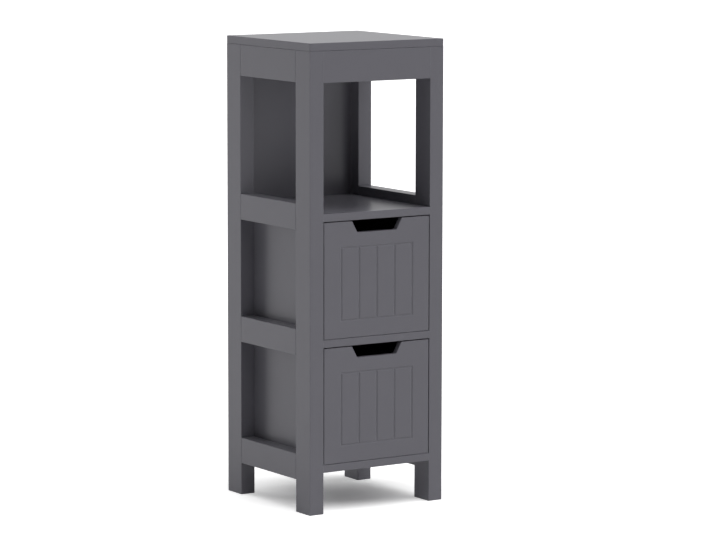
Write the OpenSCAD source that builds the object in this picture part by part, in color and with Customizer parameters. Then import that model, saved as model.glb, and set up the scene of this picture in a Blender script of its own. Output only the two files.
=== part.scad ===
// Narrow bathroom shelf unit in painted board.
// Four legs carry a top, an open compartment and two drawers with finger cut-outs.
// The origin is the centre of the footprint on the floor. The drawers face -Y and +Z is up.

/* [Overall] */
// Width over the side frames
unit_w = 300; // [280:5:400]
// Depth from the drawer fronts to the back of the legs
unit_d = 300; // [260:5:400]
// Height of the top surface above the floor
unit_h = 890; // [800:5:1100]
// Radius of the eased board edges
edge_r = 1.2; // [0.6:0.2:1.6]

/* [Side frames] */
// Leg width, seen from the front
leg_w = 30; // [28:1:40]
// Leg depth, seen from the side
leg_d = 50; // [46:1:60]
// Radius of the eased leg edges
leg_edge_r = 0.6; // [0.4:0.2:1.6]
// Height of the lower side rails
rail_h = 50; // [46:1:60]
// Height of the top side rails and of the front apron
top_rail_h = 60; // [50:1:80]
// How far a side rail stands above the board beside it
rail_rise = 18; // [12:1:22]
// Thickness of the front apron
apron_t = 15; // [14:1:20]

/* [Boards] */
// Thickness of the top panel
top_t = 15; // [14:1:22]
// Thickness of the shelf, divider and bottom panels
board_t = 15; // [14:1:20]
// Free height under the bottom panel
floor_gap = 79; // [60:1:110]
// Clear height of each drawer bay
bay_h = 223; // [180:1:240]
// Thickness of the recessed side panels
side_panel_t = 12; // [10:1:16]
// Thickness of the back panel
back_t = 12; // [10:1:16]
// How far the back panel sits in from the back of the legs
back_inset = 10; // [4:1:16]

/* [Drawers] */
// Thickness of a drawer front
front_t = 12; // [12:1:18]
// Gap between a drawer front and each leg
front_side_gap = 1.5; // [1:0.1:3]
// Gap over a drawer front
front_top_gap = 1.7; // [1:0.1:3]
// Gap under a drawer front
front_bottom_gap = 0.5; // [0.4:0.1:2]
// Thickness of the drawer sides and back
box_t = 12; // [12:1:15]
// How far the drawer box stays below the top of its front
box_drop = 41; // [28:1:70]
// Gap between the drawer box and each side panel
slide_gap = 1.5; // [1:0.1:3]
// Free depth behind a closed drawer box
rear_gap = 16; // [6:1:50]
// Thickness of the drawer bottom
drawer_bottom_t = 3; // [2.5:0.5:5]
// Height of the drawer bottom over the lower edge of the sides
drawer_bottom_rise = 10; // [6:1:14]

/* [Finger cut-out] */
// Width of the cut-out at its mouth
cutout_top_w = 112; // [94:1:130]
// Width of the cut-out at its floor
cutout_floor_w = 88; // [60:1:90]
// Depth of the cut-out
cutout_depth = 22; // [16:1:26]
// Radius of the two floor corners
cutout_r = 2; // [1:0.5:4]

/* [Routed planks] */
// Distance between the vertical grooves
plank_w = 40; // [25:1:42]
// Planks on a drawer front
planks = 4; // [3:1:4]
// Width of a groove
groove_w = 5; // [3:0.5:7]
// Depth of a groove
groove_depth = 1.5; // [1:0.1:2.5]
// Distance from the top of the front to the top groove
planks_top = 49.5; // [40:0.5:60]
// Distance from the bottom of the front to the bottom groove
planks_bottom = 34; // [20:1:50]

/* [Fittings] */
// Dowel diameter
dowel_d = 8; // [6:1:8]
// Dowel length
dowel_len = 30; // [24:1:34]
// Diameter of the cam nuts in the boards
cam_d = 15; // [14:1:16]
// Height of the cam nuts in the boards
cam_h = 12; // [10.5:0.5:12.5]
// Distance from a joint to the centre of its cam nut in the boards
cam_reach = 34; // [30:1:40]
// Diameter of the cam nuts in the drawers
drawer_cam_d = 12; // [10:1:13]
// Height of the cam nuts in the drawers
drawer_cam_h = 9; // [8.5:0.5:9.5]
// Distance from a drawer front to the centre of its cam nuts
drawer_cam_reach = 24; // [20:1:30]
// Shank diameter of a cam bolt
bolt_d = 7; // [6:0.5:7]
// Thread diameter of a cam bolt
bolt_thread_d = 6; // [5:0.5:6.5]
// Thread length of the cam bolts in the boards
bolt_thread_len = 11; // [8:1:12]
// Thread length of the cam bolts in the drawer fronts
drawer_bolt_thread_len = 9; // [7:1:9]
// Shank diameter of the screws
screw_d = 3.5; // [3:0.1:4]
// Head diameter of the screws
screw_head_d = 7; // [6:0.5:8]
// Length of the side panel screws
panel_screw_len = 25; // [20:1:30]
// Length of the back panel and drawer screws
long_screw_len = 30; // [25:1:40]

/* [Hidden] */
// Clearances
glue_gap = 0.05;       // around a dowel, a thread or a screw in its hole
end_gap = 0.5;         // past the end of a dowel, a thread or a screw
cam_gap = 0.1;         // around a cam nut in its pocket
cam_recess = 0.3;      // from a cam nut to the face that it goes in through
bolt_gap = 0.5;        // around the shank of a cam bolt
rest_gap = 0.3;        // under the drawer sides, and behind a closed drawer front
groove_gap = 0.2;      // over the drawer bottom in its grooves
groove_side_gap = 0.3; // between the drawer bottom and the ends of its grooves
over = 1;              // how far a cut runs past the face that it opens
bore_fn = 48;
edge_steps = 4;

// Main planes, all for the right half
half_w = unit_w / 2;
half_d = unit_d / 2;
inner_x = half_w - leg_w;                      // inner face of legs and rails
leg_mid_x = half_w - leg_w / 2;
leg_h = unit_h - top_t;
rail_len = unit_d - 2 * leg_d;
back_y = half_d - back_inset - back_t;         // inner face of the back panel
board_d = half_d + back_y;
board_z = [for (i = [0 : 2]) floor_gap + i * (board_t + bay_h)];
board_mid_z = [for (z = board_z) z + board_t / 2];
bay_z = [board_z[0] + board_t, board_z[1] + board_t];
rail_z = [for (z = board_z) z + board_t + rail_rise - rail_h];
top_rail_z = leg_h - top_rail_h;

// Drawer planes, with the drawer standing on its bay floor
front_w = 2 * (inner_x - front_side_gap);
front_h = bay_h - front_top_gap - front_bottom_gap;
front_y = -half_d + front_t;                   // back of a closed drawer front
box_x = inner_x - side_panel_t - slide_gap;    // outer face of the drawer sides
box_in_x = box_x - box_t;
box_h = front_bottom_gap + front_h - box_drop - rest_gap;
box_back_y = back_y - rear_gap;                // outer face of the drawer back
box_groove = 5;                                // depth of the grooves for the drawer bottom
box_groove_h = drawer_bottom_t + groove_gap;
box_side_len = box_back_y - front_y;

// Routed panel on a drawer front
planks_w = plank_w * planks;
planks_h = front_h - planks_top - planks_bottom;
planks_mid_z = planks_bottom + planks_h / 2;

// Places of the fittings
front_end = -1;
rear_end = 1;
dowel_margin = 12;                             // from a rail edge to its dowels
rail_dowel_z = concat(
    [for (z = rail_z) z + dowel_margin],
    [for (z = rail_z) z + rail_h - dowel_margin],
    [top_rail_z + dowel_margin, leg_h - dowel_margin]
);
apron_dowel_z = [top_rail_z + dowel_margin, leg_h - dowel_margin];
apron_mid_y = -half_d + apron_t / 2;
back_fitting_margin = 14;                      // from the back panel to the fittings beside it
rear_fitting_y = back_y - back_fitting_margin;
board_bolt_y = [-half_d + leg_d / 2, rear_fitting_y];
board_dowel_y = [-rail_len / 4, rail_len / 4];
top_bolt_share = 0.3;                          // share of a top rail from its middle to a cam bolt
top_bolt_y = [-rail_len * top_bolt_share, rail_len * top_bolt_share];
top_bolt_face = 7.5;                           // from the inner face of a top rail to its cam bolts
top_dowel_y = [-half_d + leg_d / 2, half_d - leg_d / 2];
top_dowel_in = 10;                             // dowel length inside the top panel
panel_screw_margin = 18;                       // from the inner edge of a front leg to its screws
panel_screw_y = [-half_d + leg_d - panel_screw_margin, rear_fitting_y];
panel_screw_end = 30;                          // from a side panel edge to its screws
back_screw_x = [-inner_x / 2, inner_x / 2];
thin_dowel_d = 6;                              // dowels in the back panel and the drawers
back_dowel_len = 24;
drawer_dowel_len = 20;
drawer_dowel_in = 8;                           // dowel length inside the drawer front
drawer_fitting_end = 40;                       // from an edge of a drawer side to its fittings
drawer_fitting_z = [rest_gap + drawer_fitting_end, rest_gap + box_h - drawer_fitting_end];

// Shapes of the fittings
dowel_tip = 1;                                 // chamfer at both ends of a dowel
cam_slot_w = 1.6;
cam_slot_depth = 2;
cam_slot_share = 0.6;                          // slot length as a share of the cam nut diameter
cam_mouth_d = 5.2;
cam_mouth_room = 0.4;                          // past the end of the bolt head
bolt_tip = 1;                                  // chamfer at the ends of the thread and the shank
bolt_head_d = 4.8;
bolt_head_past = 1;                            // from the centre of the cam nut to the end of the head
bolt_head_h = 2.6;
bolt_head_tip = 0.6;                           // chamfer of the head
bolt_neck_d = 3.2;
bolt_shank_gap = 0.4;                          // from the shank to the cam nut
screw_head_h = (screw_head_d - screw_d) / 2;   // a countersunk head with sides at 45 degrees
screw_point = 3;                               // length of the point
screw_tip_r = 0.3;

left = -1;
right = 1;
bottom_level = 0;
divider_level = 1;
shelf_level = 2;
lower_bay = 0;
upper_bay = 1;
paint = "#66656b";
beech = "#d9b988";
zinc = "#b9bcc0";

// Boards with eased edges, drawn from their lower corner
function arc(x, y, r, start) =
    [for (i = [0 : edge_steps]) let (a = start + 90 * i / edge_steps) [x + r * cos(a), y + r * sin(a)]];

module eased_outline(w, h, r = edge_r, square_first = false) {
    polygon(concat(
        square_first ? [[0, 0]] : arc(r, r, r, 180),
        arc(w - r, r, r, 270),
        arc(w - r, h - r, r, 0),
        arc(r, h - r, r, 90)
    ));
}

module eased_along_x(size) {
    rotate([90, 0, 90]) linear_extrude(size.x) eased_outline(size.y, size.z);
}

module eased_along_y(size) {
    translate([0, 0, size.z]) rotate([-90, 0, 0]) linear_extrude(size.y) eased_outline(size.x, size.z);
}

module eased_along_z(size) {
    linear_extrude(size.z) eased_outline(size.x, size.y);
}

module eased_all_round(size) {
    intersection() {
        eased_along_x(size);
        eased_along_y(size);
        eased_along_z(size);
    }
}

// A rail between two legs: its long edges and its upright end edges are eased
module eased_rail(size) {
    intersection() {
        eased_along_y(size);
        eased_along_z(size);
    }
}

// What is drawn for the right side goes to the side that is asked for
module on_side(side) {
    mirror([side < 0 ? 1 : 0, 0, 0]) children();
}

module on_both_sides() {
    for (side = [left, right]) on_side(side) children();
}

// Fittings stand on their joint plane: local +Z runs into the piece that holds the cam nut
module dowel(d, front_len, back_len) {
    rotate_extrude($fn = bore_fn) polygon([
        [0, -front_len], [d / 2 - dowel_tip, -front_len], [d / 2, -front_len + dowel_tip],
        [d / 2, back_len - dowel_tip], [d / 2 - dowel_tip, back_len], [0, back_len]
    ]);
}

module dowel_hole(d, front_len, back_len) {
    translate([0, 0, -front_len - end_gap])
        cylinder(h = front_len + back_len + 2 * end_gap, d = d + 2 * glue_gap, $fn = bore_fn);
}

module cam_bolt(reach, nut_d, thread_len) {
    thread_r = bolt_thread_d / 2;
    neck_r = bolt_neck_d / 2;
    head_r = bolt_head_d / 2;
    head_top = reach + bolt_head_past;
    head_bottom = head_top - bolt_head_h;
    shank_end = reach - nut_d / 2 - bolt_shank_gap;
    rotate_extrude($fn = bore_fn) polygon([
        [0, -thread_len], [thread_r - bolt_tip, -thread_len], [thread_r, -thread_len + bolt_tip],
        [thread_r, end_gap], [bolt_d / 2, end_gap], [bolt_d / 2, shank_end - bolt_tip],
        [neck_r, shank_end], [neck_r, head_bottom], [head_r, head_bottom],
        [head_r, head_top - bolt_head_tip], [head_r - bolt_head_tip, head_top], [0, head_top]
    ]);
}

module cam_bolt_hole(reach, thread_len) {
    translate([0, 0, -thread_len - end_gap])
        cylinder(h = thread_len + end_gap + over, d = bolt_thread_d + 2 * glue_gap, $fn = bore_fn);
    cylinder(h = reach, d = bolt_d + 2 * bolt_gap, $fn = bore_fn);
}

// A cam nut lies across the bolt and goes in through the face at local -X
module cam_nut(reach, d, h, face) {
    difference() {
        translate([cam_recess - face, 0, reach]) rotate([0, 90, 0]) cylinder(h = h, d = d, $fn = bore_fn);
        translate([0, 0, reach - d])
            cylinder(h = d + bolt_head_past + cam_mouth_room, d = cam_mouth_d, $fn = bore_fn);
        for (turn = [0, 90])
            translate([cam_recess - face, 0, reach]) rotate([turn, 0, 0])
                cube([2 * cam_slot_depth, d * cam_slot_share, cam_slot_w], center = true);
    }
}

module cam_pocket(reach, d, h, face) {
    translate([-face - over, 0, reach]) rotate([0, 90, 0])
        cylinder(h = h + cam_recess + over + cam_gap, d = d + 2 * cam_gap, $fn = bore_fn);
}

// Screws go in along local +Z, with the head flush at the origin
module screw(len) {
    rotate_extrude($fn = bore_fn) polygon([
        [0, 0], [screw_head_d / 2, 0], [screw_d / 2, screw_head_h],
        [screw_d / 2, len - screw_point], [screw_tip_r, len], [0, len]
    ]);
}

module screw_hole(len) {
    head_r = screw_head_d / 2 + glue_gap;
    shank_r = screw_d / 2 + glue_gap;
    rotate_extrude($fn = bore_fn) polygon([
        [0, -over], [head_r, -over], [head_r, 0],
        [shank_r, screw_head_h], [shank_r, len + end_gap], [0, len + end_gap]
    ]);
}

// Joint places on the right half, shared by the holes and by what fills them
module at_rail_ends() {
    for (end = [-1, 1], z = rail_dowel_z)
        translate([leg_mid_x, end * rail_len / 2, z]) rotate([90, 0, 0]) children();
}

module at_board_dowels() {
    for (y = board_dowel_y, z = board_mid_z)
        translate([inner_x, y, z]) rotate([0, -90, 0]) children();
}

module at_board_bolts() {
    for (y = board_bolt_y, z = board_mid_z)
        translate([inner_x, y, z]) rotate([0, -90, 0]) children();
}

module at_top_bolts() {
    for (y = top_bolt_y)
        translate([inner_x + top_bolt_face, y, leg_h]) rotate([180, 0, 0]) children();
}

module at_top_dowels() {
    for (y = top_dowel_y)
        translate([leg_mid_x, y, leg_h]) rotate([180, 0, 0]) children();
}

module at_apron_dowels() {
    for (z = apron_dowel_z)
        translate([inner_x, apron_mid_y, z]) rotate([0, -90, 0]) children();
}

module at_apron_bolt() {
    translate([inner_x, apron_mid_y, leg_h - top_rail_h / 2])
        rotate([0, -90, 0]) rotate([0, 0, -90]) children();
}

module at_panel_screws() {
    for (bay = bay_z, y = panel_screw_y, z = [bay + panel_screw_end, bay + bay_h - panel_screw_end])
        translate([inner_x - side_panel_t, y, z]) rotate([0, 90, 0]) children();
}

module at_back_screws() {
    for (x = back_screw_x, z = board_mid_z)
        translate([x, back_y + back_t, z]) rotate([90, 0, 0]) children();
}

module at_back_dowels() {
    for (x = back_screw_x)
        translate([x, back_y + back_t / 2, leg_h]) rotate([180, 0, 0]) children();
}

module at_drawer_bolts() {
    for (z = drawer_fitting_z)
        translate([box_x - box_t / 2, front_y, z]) rotate([-90, 0, 0]) children();
}

module at_drawer_dowels() {
    translate([box_x - box_t / 2, front_y, rest_gap + box_h / 2]) rotate([-90, 0, 0]) children();
}

module at_drawer_screws() {
    for (z = drawer_fitting_z)
        translate([box_x, box_back_y - box_t / 2, z]) rotate([0, -90, 0]) children();
}

// Holes of the frame, cut from each piece that they reach
module frame_dowel_holes() {
    at_rail_ends() dowel_hole(dowel_d, dowel_len / 2, dowel_len / 2);
    at_board_dowels() dowel_hole(dowel_d, dowel_len / 2, dowel_len / 2);
    at_apron_dowels() dowel_hole(dowel_d, dowel_len / 2, dowel_len / 2);
    at_top_dowels() dowel_hole(dowel_d, top_dowel_in, dowel_len - top_dowel_in);
}

module frame_bolt_holes() {
    at_board_bolts() cam_bolt_hole(cam_reach, bolt_thread_len);
    at_apron_bolt() cam_bolt_hole(cam_reach, bolt_thread_len);
    at_top_bolts() cam_bolt_hole(cam_reach, bolt_thread_len);
}

module back_dowel_holes() {
    at_back_dowels() dowel_hole(thin_dowel_d, top_dowel_in, back_dowel_len - top_dowel_in);
}

// Frame pieces
module top_panel() {
    color(paint) difference() {
        translate([-half_w, -half_d, leg_h]) eased_all_round([unit_w, unit_d, top_t]);
        on_both_sides() at_top_dowels() dowel_hole(dowel_d, top_dowel_in, dowel_len - top_dowel_in);
        on_both_sides() at_top_bolts() cam_bolt_hole(cam_reach, bolt_thread_len);
        back_dowel_holes();
    }
}

// The inner front corner of a front leg stays square, where the apron and the boards lie flush with it
module leg(side, end) {
    color(paint) on_side(side) difference() {
        translate([inner_x, end == front_end ? -half_d : half_d - leg_d, 0])
            linear_extrude(leg_h) eased_outline(leg_w, leg_d, leg_edge_r, end == front_end);
        frame_dowel_holes();
        frame_bolt_holes();
        at_panel_screws() screw_hole(panel_screw_len);
    }
}

module side_rail(side, level) {
    color(paint) on_side(side) difference() {
        translate([inner_x, -rail_len / 2, rail_z[level]]) eased_rail([leg_w, rail_len, rail_h]);
        frame_dowel_holes();
    }
}

module top_rail(side) {
    color(paint) on_side(side) difference() {
        translate([inner_x, -rail_len / 2, top_rail_z]) eased_rail([leg_w, rail_len, top_rail_h]);
        at_rail_ends() dowel_hole(dowel_d, dowel_len / 2, dowel_len / 2);
        at_top_bolts() {
            cam_bolt_hole(cam_reach, bolt_thread_len);
            cam_pocket(cam_reach, cam_d, cam_h, top_bolt_face);
        }
    }
}

module front_apron() {
    color(paint) difference() {
        translate([-inner_x, -half_d, top_rail_z]) eased_along_x([2 * inner_x, apron_t, top_rail_h]);
        on_both_sides() {
            at_apron_dowels() dowel_hole(dowel_d, dowel_len / 2, dowel_len / 2);
            at_apron_bolt() {
                cam_bolt_hole(cam_reach, bolt_thread_len);
                cam_pocket(cam_reach, cam_d, cam_h, apron_t / 2);
            }
        }
    }
}

module board(level) {
    color(paint) difference() {
        translate([-inner_x, -half_d, board_z[level]]) eased_along_x([2 * inner_x, board_d, board_t]);
        on_both_sides() {
            at_board_dowels() dowel_hole(dowel_d, dowel_len / 2, dowel_len / 2);
            at_board_bolts() {
                cam_bolt_hole(cam_reach, bolt_thread_len);
                cam_pocket(cam_reach, cam_d, cam_h, board_t / 2);
            }
        }
        at_back_screws() screw_hole(long_screw_len);
    }
}

module side_panel(side, level) {
    color(paint) on_side(side) difference() {
        translate([inner_x - side_panel_t, front_y + rest_gap, bay_z[level]])
            cube([side_panel_t, back_y - front_y - rest_gap, bay_h]);
        at_panel_screws() screw_hole(panel_screw_len);
    }
}

module back_panel() {
    color(paint) difference() {
        translate([-inner_x, back_y, floor_gap]) cube([2 * inner_x, back_t, leg_h - floor_gap]);
        at_back_screws() screw_hole(long_screw_len);
        back_dowel_holes();
    }
}

// Fittings of the frame
module frame_dowels() {
    color(beech) on_both_sides() {
        at_rail_ends() dowel(dowel_d, dowel_len / 2, dowel_len / 2);
        at_board_dowels() dowel(dowel_d, dowel_len / 2, dowel_len / 2);
        at_apron_dowels() dowel(dowel_d, dowel_len / 2, dowel_len / 2);
        at_top_dowels() dowel(dowel_d, top_dowel_in, dowel_len - top_dowel_in);
    }
}

module frame_cam_bolts() {
    color(zinc) on_both_sides() {
        at_board_bolts() cam_bolt(cam_reach, cam_d, bolt_thread_len);
        at_apron_bolt() cam_bolt(cam_reach, cam_d, bolt_thread_len);
        at_top_bolts() cam_bolt(cam_reach, cam_d, bolt_thread_len);
    }
}

module frame_cam_nuts() {
    color(zinc) on_both_sides() {
        at_board_bolts() cam_nut(cam_reach, cam_d, cam_h, board_t / 2);
        at_apron_bolt() cam_nut(cam_reach, cam_d, cam_h, apron_t / 2);
        at_top_bolts() cam_nut(cam_reach, cam_d, cam_h, top_bolt_face);
    }
}

module side_panel_screws() {
    color(zinc) on_both_sides() at_panel_screws() screw(panel_screw_len);
}

module back_panel_screws() {
    color(zinc) at_back_screws() screw(long_screw_len);
}

module back_panel_dowels() {
    color(beech) at_back_dowels() dowel(thin_dowel_d, top_dowel_in, back_dowel_len - top_dowel_in);
}

// Outline of the finger cut-out, with its floor on the X axis
module cutout_outline() {
    slope = atan((cutout_top_w - cutout_floor_w) / 2 / cutout_depth);
    arc_x = cutout_floor_w / 2 - cutout_r * (1 - sin(slope)) / cos(slope);
    half = concat(
        [for (i = [0 : edge_steps]) let (a = -90 + i * (90 - slope) / edge_steps)
            [arc_x + cutout_r * cos(a), cutout_r + cutout_r * sin(a)]],
        [[cutout_top_w / 2, cutout_depth], [cutout_top_w / 2, cutout_depth + over]]
    );
    polygon(concat(half, [for (i = [len(half) - 1 : -1 : 0]) [-half[i].x, half[i].y]]));
}

// V groove along local Z, cut into the plane y = 0
module groove(length) {
    mouth = groove_w / 2 * (1 + 2 * over / groove_depth);
    linear_extrude(length, center = true)
        polygon([[-mouth, -2 * over], [mouth, -2 * over], [0, groove_depth]]);
}

// Block whose four sides slope as a groove does. At the depth of the grooves it is as large as the
// planks together. It narrows with depth where way is -1 and widens with depth where way is 1.
module sloped_block(way, from_y, to_y) {
    function half(size, y) = size / 2 + way * groove_w / 2 * (y / groove_depth - 1);
    function profile(size) = [
        [-half(size, from_y), from_y], [half(size, from_y), from_y],
        [half(size, to_y), to_y], [-half(size, to_y), to_y]
    ];
    intersection() {
        linear_extrude(2 * planks_h, center = true) polygon(profile(planks_w));
        rotate([0, 90, 0]) linear_extrude(2 * planks_w, center = true) polygon(profile(planks_h));
    }
}

// The recess leaves the planks standing, with one groove round them and a groove between each two
module plank_grooves() {
    difference() {
        sloped_block(-1, -over, groove_depth + over);
        difference() {
            sloped_block(1, -2 * over, groove_depth + 2 * over);
            for (i = [1 : planks - 1]) translate([i * plank_w - planks_w / 2, 0, 0]) groove(3 * planks_h);
        }
    }
}

// Space for the edge of the drawer bottom, cut from the front, the sides and the back
module drawer_bottom_slot() {
    w = 2 * (box_in_x + box_groove);
    slot_back_y = box_back_y - box_t + box_groove;
    translate([-w / 2, front_y - box_groove, rest_gap + drawer_bottom_rise])
        cube([w, slot_back_y - front_y + box_groove, box_groove_h]);
}

// Drawer pieces, drawn from the floor of their bay
module in_bay(level) {
    translate([0, 0, bay_z[level]]) children();
}

module drawer_front(level) {
    color(paint) in_bay(level) difference() {
        translate([-front_w / 2, -half_d, front_bottom_gap]) eased_all_round([front_w, front_t, front_h]);
        translate([0, front_y + over, front_bottom_gap + front_h - cutout_depth])
            rotate([90, 0, 0]) linear_extrude(front_t + 2 * over) cutout_outline();
        translate([0, -half_d, front_bottom_gap + planks_mid_z]) plank_grooves();
        drawer_bottom_slot();
        on_both_sides() {
            at_drawer_bolts() cam_bolt_hole(drawer_cam_reach, drawer_bolt_thread_len);
            at_drawer_dowels() dowel_hole(thin_dowel_d, drawer_dowel_in, drawer_dowel_len - drawer_dowel_in);
        }
    }
}

module drawer_side(side, level) {
    color(paint) in_bay(level) on_side(side) difference() {
        translate([box_in_x, front_y, rest_gap]) eased_along_y([box_t, box_side_len, box_h]);
        drawer_bottom_slot();
        at_drawer_bolts() {
            cam_bolt_hole(drawer_cam_reach, drawer_bolt_thread_len);
            cam_pocket(drawer_cam_reach, drawer_cam_d, drawer_cam_h, box_t / 2);
        }
        at_drawer_dowels() dowel_hole(thin_dowel_d, drawer_dowel_in, drawer_dowel_len - drawer_dowel_in);
        at_drawer_screws() screw_hole(long_screw_len);
    }
}

module drawer_back(level) {
    color(paint) in_bay(level) difference() {
        translate([-box_in_x, box_back_y - box_t, rest_gap]) eased_along_x([2 * box_in_x, box_t, box_h]);
        drawer_bottom_slot();
        on_both_sides() at_drawer_screws() screw_hole(long_screw_len);
    }
}

module drawer_bottom(level) {
    w = 2 * (box_in_x + box_groove - groove_side_gap);
    bottom_front_y = front_y - box_groove + groove_side_gap;
    bottom_back_y = box_back_y - box_t + box_groove - groove_side_gap;
    color(paint) in_bay(level) translate([-w / 2, bottom_front_y, rest_gap + drawer_bottom_rise])
        cube([w, bottom_back_y - bottom_front_y, drawer_bottom_t]);
}

module drawer_dowels(level) {
    color(beech) in_bay(level) on_both_sides()
        at_drawer_dowels() dowel(thin_dowel_d, drawer_dowel_in, drawer_dowel_len - drawer_dowel_in);
}

module drawer_cam_bolts(level) {
    color(zinc) in_bay(level) on_both_sides()
        at_drawer_bolts() cam_bolt(drawer_cam_reach, drawer_cam_d, drawer_bolt_thread_len);
}

module drawer_cam_nuts(level) {
    color(zinc) in_bay(level) on_both_sides()
        at_drawer_bolts() cam_nut(drawer_cam_reach, drawer_cam_d, drawer_cam_h, box_t / 2);
}

module drawer_screws(level) {
    color(zinc) in_bay(level) on_both_sides() at_drawer_screws() screw(long_screw_len);
}

top_panel();
leg(left, front_end);  // leg_front_left
leg(right, front_end);  // leg_front_right
leg(left, rear_end);  // leg_rear_left
leg(right, rear_end);  // leg_rear_right
top_rail(left);  // top_rail_left
top_rail(right);  // top_rail_right
side_rail(left, shelf_level);  // shelf_rail_left
side_rail(right, shelf_level);  // shelf_rail_right
side_rail(left, divider_level);  // middle_rail_left
side_rail(right, divider_level);  // middle_rail_right
side_rail(left, bottom_level);  // bottom_rail_left
side_rail(right, bottom_level);  // bottom_rail_right
front_apron();
board(shelf_level);  // shelf_panel
board(divider_level);  // divider_panel
board(bottom_level);  // bottom_panel
back_panel();
side_panel(left, upper_bay);  // side_panel_upper_left
side_panel(right, upper_bay);  // side_panel_upper_right
side_panel(left, lower_bay);  // side_panel_lower_left
side_panel(right, lower_bay);  // side_panel_lower_right
frame_dowels();
frame_cam_bolts();
frame_cam_nuts();
side_panel_screws();
back_panel_screws();
back_panel_dowels();
drawer_front(upper_bay);  // drawer_upper_front
drawer_side(left, upper_bay);  // drawer_upper_side_left
drawer_side(right, upper_bay);  // drawer_upper_side_right
drawer_back(upper_bay);  // drawer_upper_back
drawer_bottom(upper_bay);  // drawer_upper_bottom
drawer_dowels(upper_bay);  // drawer_upper_dowels
drawer_cam_bolts(upper_bay);  // drawer_upper_cam_bolts
drawer_cam_nuts(upper_bay);  // drawer_upper_cam_nuts
drawer_screws(upper_bay);  // drawer_upper_screws
drawer_front(lower_bay);  // drawer_lower_front
drawer_side(left, lower_bay);  // drawer_lower_side_left
drawer_side(right, lower_bay);  // drawer_lower_side_right
drawer_back(lower_bay);  // drawer_lower_back
drawer_bottom(lower_bay);  // drawer_lower_bottom
drawer_dowels(lower_bay);  // drawer_lower_dowels
drawer_cam_bolts(lower_bay);  // drawer_lower_cam_bolts
drawer_cam_nuts(lower_bay);  // drawer_lower_cam_nuts
drawer_screws(lower_bay);  // drawer_lower_screws
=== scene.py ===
# A narrow grey bathroom shelf unit with two drawers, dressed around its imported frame
import math
import bpy
from mathutils import Matrix, Vector


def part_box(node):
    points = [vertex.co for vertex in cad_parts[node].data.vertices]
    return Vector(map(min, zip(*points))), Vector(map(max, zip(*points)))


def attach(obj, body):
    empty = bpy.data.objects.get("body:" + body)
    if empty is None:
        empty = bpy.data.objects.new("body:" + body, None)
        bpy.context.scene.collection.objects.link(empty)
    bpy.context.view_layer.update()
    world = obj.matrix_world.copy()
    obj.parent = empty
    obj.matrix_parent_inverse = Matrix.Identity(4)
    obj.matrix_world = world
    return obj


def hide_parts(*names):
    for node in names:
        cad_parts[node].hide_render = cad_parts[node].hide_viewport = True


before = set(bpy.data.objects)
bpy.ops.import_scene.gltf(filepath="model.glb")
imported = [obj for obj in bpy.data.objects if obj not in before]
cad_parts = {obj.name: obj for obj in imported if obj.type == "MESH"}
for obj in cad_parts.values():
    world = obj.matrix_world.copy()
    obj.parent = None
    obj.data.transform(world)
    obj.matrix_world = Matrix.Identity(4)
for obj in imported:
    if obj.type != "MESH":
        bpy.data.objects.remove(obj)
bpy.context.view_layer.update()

mm = 0.001  # one millimetre in Blender's metres


# Small helpers
def linearColour(hexText):
    channels = [int(hexText[i:i + 2], 16) / 255 for i in (1, 3, 5)]
    return [c / 12.92 if c <= 0.04045 else ((c + 0.055) / 1.055) ** 2.4 for c in channels] + [1.0]


def addNode(tree, kind, sockets=None, **settings):
    # sockets holds a fixed value or another node's output for each input
    # two colours are mixed at the inputs 6 and 7 of a Mix node
    node = tree.nodes.new(kind)
    for name, value in settings.items():
        setattr(node, name, value)
    for name, value in (sockets or {}).items():
        if isinstance(value, bpy.types.NodeSocket):
            tree.links.new(value, node.inputs[name])
        else:
            node.inputs[name].default_value = value
    return node


def newMaterial(name):
    material = bpy.data.materials.new(name)
    material.use_nodes = True
    material.node_tree.nodes.clear()
    return material, material.node_tree


# Camera, at the photograph's viewing angle
cameraView = {
    "place": (-3.51736, -5.50111, 1.28693),
    "turn": 32.9947,    # degrees from +Y towards +X
    "tilt": 7.385,      # degrees below the horizon
    "roll": 0.0822,
    "lens": 171.75,     # mm, on a sensor this wide
    "sensor": 36,
    "farthest": 200,    # metres
}


def makeCamera(view):
    lensData = bpy.data.cameras.new("productCamera")
    lensData.lens = view["lens"]
    lensData.sensor_width = view["sensor"]
    lensData.clip_end = view["farthest"]
    camera = bpy.data.objects.new("productCamera", lensData)
    bpy.context.scene.collection.objects.link(camera)
    turn = Matrix.Rotation(math.radians(-view["turn"]), 4, "Z")
    tilt = Matrix.Rotation(math.radians(90 - view["tilt"]), 4, "X")
    roll = Matrix.Rotation(math.radians(view["roll"]), 4, "Z")
    camera.matrix_world = Matrix.Translation(view["place"]) @ turn @ tilt @ roll
    bpy.context.scene.camera = camera


makeCamera(cameraView)
print("Camera placed")

# Studio: a white floor that keeps the shadow, with painted shade round the unit where its glow is held back,
# and four broad soft suns
studio = {
    "floorRadius": 30.0,     # metres
    "floorSides": 96,
    "floorColour": "#fafafa",
    "farGlow": 0.65,         # white away from the unit that lights nothing
    "glossShare": 0.5,       # how much of it gloss sees
    # the centre and reach of the painted shade round the unit, where the floor's glow is held back
    "paintedShadowCentre": (0.03, 0.004, 0),    # metres; there is no glow at this point
    "paintedShadowReach": 0.267,      # metres from that point to the full glow
    "skyStrength": 0.01,
    "lightDistance": 4,      # metres; suns shine alike from any distance
    # degrees from +X towards +Y, degrees above the floor, degrees across, brightness
    "lights": {
        "rearLight": (112, 12, 30, 1.5),
        "rightLight": (-22, 12, 30, 1.15),
        "frontLight": (-68, 66, 60, 2.0),
        "topLight": (-90, 90, 60, 0.3),
    },
}


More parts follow.
